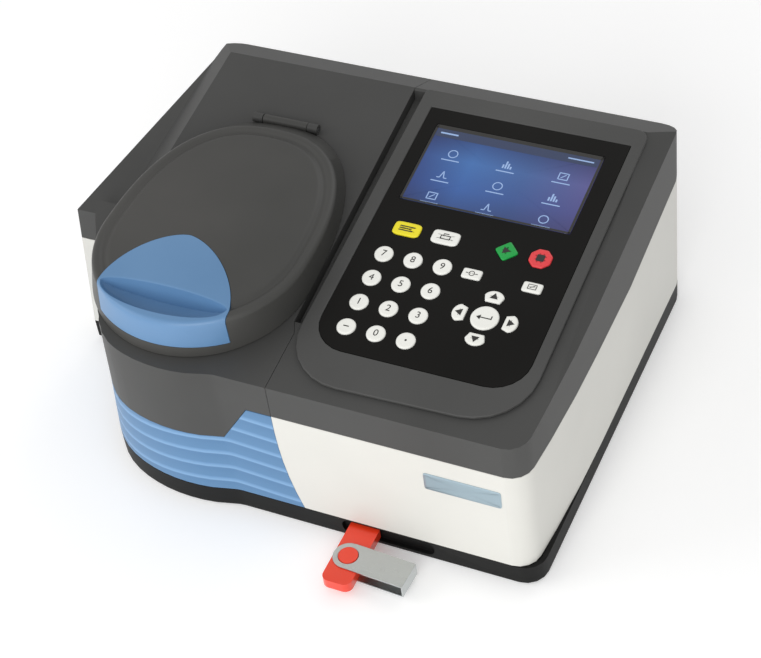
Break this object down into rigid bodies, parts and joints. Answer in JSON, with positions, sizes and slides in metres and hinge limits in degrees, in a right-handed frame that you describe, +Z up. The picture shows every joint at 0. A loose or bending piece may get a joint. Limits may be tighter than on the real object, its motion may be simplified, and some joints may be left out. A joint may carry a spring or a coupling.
{
  "type": "spectrophotometer",
  "caption": "Benchtop spectrophotometer: low case with sloping top, hinged egg-shaped lid over a sample well, keypad console with display, plugged-in memory stick.",
  "frame": {"origin": "on the table under the middle of the whole object's box, memory stick included", "axes": "+X to the user's right, +Y from the front towards the back, +Z up"},
  "size_m": [0.368, 0.32, 0.159],
  "materials": {
    "black_plastic": "satin black moulding",
    "rubber": "black rubber",
    "white_plastic": "off-white fine-textured moulding",
    "blue_plastic": "light blue moulding",
    "grey_plastic": "dark warm grey fine-textured moulding",
    "bezel_grey": "grey moulding a shade lighter than the covers",
    "keypad_film": "near-black polyester film",
    "clear_window": "clear",
    "display": "lit blue display",
    "circuit_board": "green solder mask",
    "aluminium": "machined",
    "steel": "plated",
    "dark_metal": "black painted",
    "red_plastic": "soft gloss red",
    "white_key": "matt white",
    "yellow_key": "matt yellow",
    "green_key": "matt green",
    "red_key": "matt red"
  },
  "bodies": {
    "case": {"base_pan": "black_plastic", "power_entry": "black_plastic", "sample_well": "black_plastic", "detector_module": "black_plastic", "foot_front_left": "rubber", "foot_front_right": "rubber", "foot_rear_left": "rubber", "foot_rear_right": "rubber", "lower_case": "white_plastic", "accent_panel": "blue_plastic", "left_top_cover": "grey_plastic", "right_top_cover": "grey_plastic", "console_bezel": "bezel_grey", "keypad_overlay": "keypad_film", "display_window": "clear_window", "lamp_bulb": "clear_window", "display_module": "display", "keypad_board": "circuit_board", "main_board": "circuit_board", "optical_bench": "aluminium", "cuvette_holder": "aluminium", "lamp_housing": "aluminium", "collimating_mirror": "aluminium", "lid_hinge_pin": "steel", "usb_port": "steel", "power_supply": "dark_metal", "filter_motor": "dark_metal", "grating_motor": "dark_metal"},
    "lid": {"lid_shell": "grey_plastic", "lid_handle": "blue_plastic", "lid_liner": "black_plastic"},
    "stick": {"stick_body": "red_plastic", "stick_plug": "steel"},
    "stick_clip": {"stick_clip": "steel"},
    "rocker": {"power_rocker": "black_plastic"},
    "filter_wheel": {"filter_wheel": "black_plastic"},
    "grating": {"grating_table": "aluminium"},
    "key_7": {"key_7": "white_key"},
    "key_8": {"key_8": "white_key"},
    "key_9": {"key_9": "white_key"},
    "key_4": {"key_4": "white_key"},
    "key_5": {"key_5": "white_key"},
    "key_6": {"key_6": "white_key"},
    "key_1": {"key_1": "white_key"},
    "key_2": {"key_2": "white_key"},
    "key_3": {"key_3": "white_key"},
    "key_minus": {"key_minus": "white_key"},
    "key_0": {"key_0": "white_key"},
    "key_point": {"key_point": "white_key"},
    "key_yellow": {"key_yellow": "yellow_key"},
    "key_white": {"key_white": "white_key"},
    "key_left_soft": {"key_left_soft": "white_key"},
    "key_right_soft": {"key_right_soft": "white_key"},
    "key_start": {"key_start": "green_key"},
    "key_stop": {"key_stop": "red_key"},
    "key_enter": {"key_enter": "white_key"},
    "key_up": {"key_up": "white_key"},
    "key_left": {"key_left": "white_key"},
    "key_down": {"key_down": "white_key"},
    "key_right": {"key_right": "white_key"}
  },
  "joints": [
    {"name": "lid_hinge", "type": "hinge", "parent": "case", "child": "lid", "pos_m": [-0.059, 0.0805, 0.1494], "axis": [-1, 0, 0], "range_deg": [0, 78]},
    {"name": "key_7_press", "type": "slide", "parent": "case", "child": "key_7", "axis": [0, 0.1309, -0.9914], "range_m": [0, 0.0008], "stiffness_N_per_m": 400},
    {"name": "key_8_press", "type": "slide", "parent": "case", "child": "key_8", "axis": [0, 0.1309, -0.9914], "range_m": [0, 0.0008], "stiffness_N_per_m": 400},
    {"name": "key_9_press", "type": "slide", "parent": "case", "child": "key_9", "axis": [0, 0.1309, -0.9914], "range_m": [0, 0.0008], "stiffness_N_per_m": 400},
    {"name": "key_4_press", "type": "slide", "parent": "case", "child": "key_4", "axis": [0, 0.1309, -0.9914], "range_m": [0, 0.0008], "stiffness_N_per_m": 400},
    {"name": "key_5_press", "type": "slide", "parent": "case", "child": "key_5", "axis": [0, 0.1309, -0.9914], "range_m": [0, 0.0008], "stiffness_N_per_m": 400},
    {"name": "key_6_press", "type": "slide", "parent": "case", "child": "key_6", "axis": [0, 0.1309, -0.9914], "range_m": [0, 0.0008], "stiffness_N_per_m": 400},
    {"name": "key_1_press", "type": "slide", "parent": "case", "child": "key_1", "axis": [0, 0.1309, -0.9914], "range_m": [0, 0.0008], "stiffness_N_per_m": 400},
    {"name": "key_2_press", "type": "slide", "parent": "case", "child": "key_2", "axis": [0, 0.1309, -0.9914], "range_m": [0, 0.0008], "stiffness_N_per_m": 400},
    {"name": "key_3_press", "type": "slide", "parent": "case", "child": "key_3", "axis": [0, 0.1309, -0.9914], "range_m": [0, 0.0008], "stiffness_N_per_m": 400},
    {"name": "key_minus_press", "type": "slide", "parent": "case", "child": "key_minus", "axis": [0, 0.1309, -0.9914], "range_m": [0, 0.0008], "stiffness_N_per_m": 400},
    {"name": "key_0_press", "type": "slide", "parent": "case", "child": "key_0", "axis": [0, 0.1309, -0.9914], "range_m": [0, 0.0008], "stiffness_N_per_m": 400},
    {"name": "key_point_press", "type": "slide", "parent": "case", "child": "key_point", "axis": [0, 0.1309, -0.9914], "range_m": [0, 0.0008], "stiffness_N_per_m": 400},
    {"name": "key_yellow_press", "type": "slide", "parent": "case", "child": "key_yellow", "axis": [0, 0.1309, -0.9914], "range_m": [0, 0.0008], "stiffness_N_per_m": 400},
    {"name": "key_white_press", "type": "slide", "parent": "case", "child": "key_white", "axis": [0, 0.1309, -0.9914], "range_m": [0, 0.0008], "stiffness_N_per_m": 400},
    {"name": "key_left_soft_press", "type": "slide", "parent": "case", "child": "key_left_soft", "axis": [0, 0.1309, -0.9914], "range_m": [0, 0.0008], "stiffness_N_per_m": 400},
    {"name": "key_right_soft_press", "type": "slide", "parent": "case", "child": "key_right_soft", "axis": [0, 0.1309, -0.9914], "range_m": [0, 0.0008], "stiffness_N_per_m": 400},
    {"name": "key_start_press", "type": "slide", "parent": "case", "child": "key_start", "axis": [0, 0.1309, -0.9914], "range_m": [0, 0.0008], "stiffness_N_per_m": 400},
    {"name": "key_stop_press", "type": "slide", "parent": "case", "child": "key_stop", "axis": [0, 0.1309, -0.9914], "range_m": [0, 0.0008], "stiffness_N_per_m": 400},
    {"name": "key_enter_press", "type": "slide", "parent": "case", "child": "key_enter", "axis": [0, 0.1309, -0.9914], "range_m": [0, 0.0008], "stiffness_N_per_m": 400},
    {"name": "key_up_press", "type": "slide", "parent": "case", "child": "key_up", "axis": [0, 0.1309, -0.9914], "range_m": [0, 0.0008], "stiffness_N_per_m": 400},
    {"name": "key_left_press", "type": "slide", "parent": "case", "child": "key_left", "axis": [0, 0.1309, -0.9914], "range_m": [0, 0.0008], "stiffness_N_per_m": 400},
    {"name": "key_down_press", "type": "slide", "parent": "case", "child": "key_down", "axis": [0, 0.1309, -0.9914], "range_m": [0, 0.0008], "stiffness_N_per_m": 400},
    {"name": "key_right_press", "type": "slide", "parent": "case", "child": "key_right", "axis": [0, 0.1309, -0.9914], "range_m": [0, 0.0008], "stiffness_N_per_m": 400},
    {"name": "rocker_tilt", "type": "hinge", "parent": "case", "child": "rocker", "pos_m": [0.086, 0.1515, 0.048], "axis": [1, 0, 0], "range_deg": [0, 16]},
    {"name": "filter_wheel_turn", "type": "hinge", "parent": "case", "child": "filter_wheel", "pos_m": [-0.064, 0.097, 0.066], "axis": [1, 0, 0], "continuous": true},
    {"name": "grating_turn", "type": "hinge", "parent": "case", "child": "grating", "pos_m": [-0.078, 0.049, 0.0563], "axis": [0, 0, 1], "range_deg": [-35, 35]},
    {"name": "stick_pull", "type": "slide", "parent": "case", "child": "stick", "axis": [0, -1, 0], "range_m": [0, 0.018]},
    {"name": "clip_swivel", "type": "hinge", "parent": "stick", "child": "stick_clip", "pos_m": [0.0685, -0.139, 0.009], "axis": [0, 0, -1], "range_deg": [0, 174]}
  ]
}
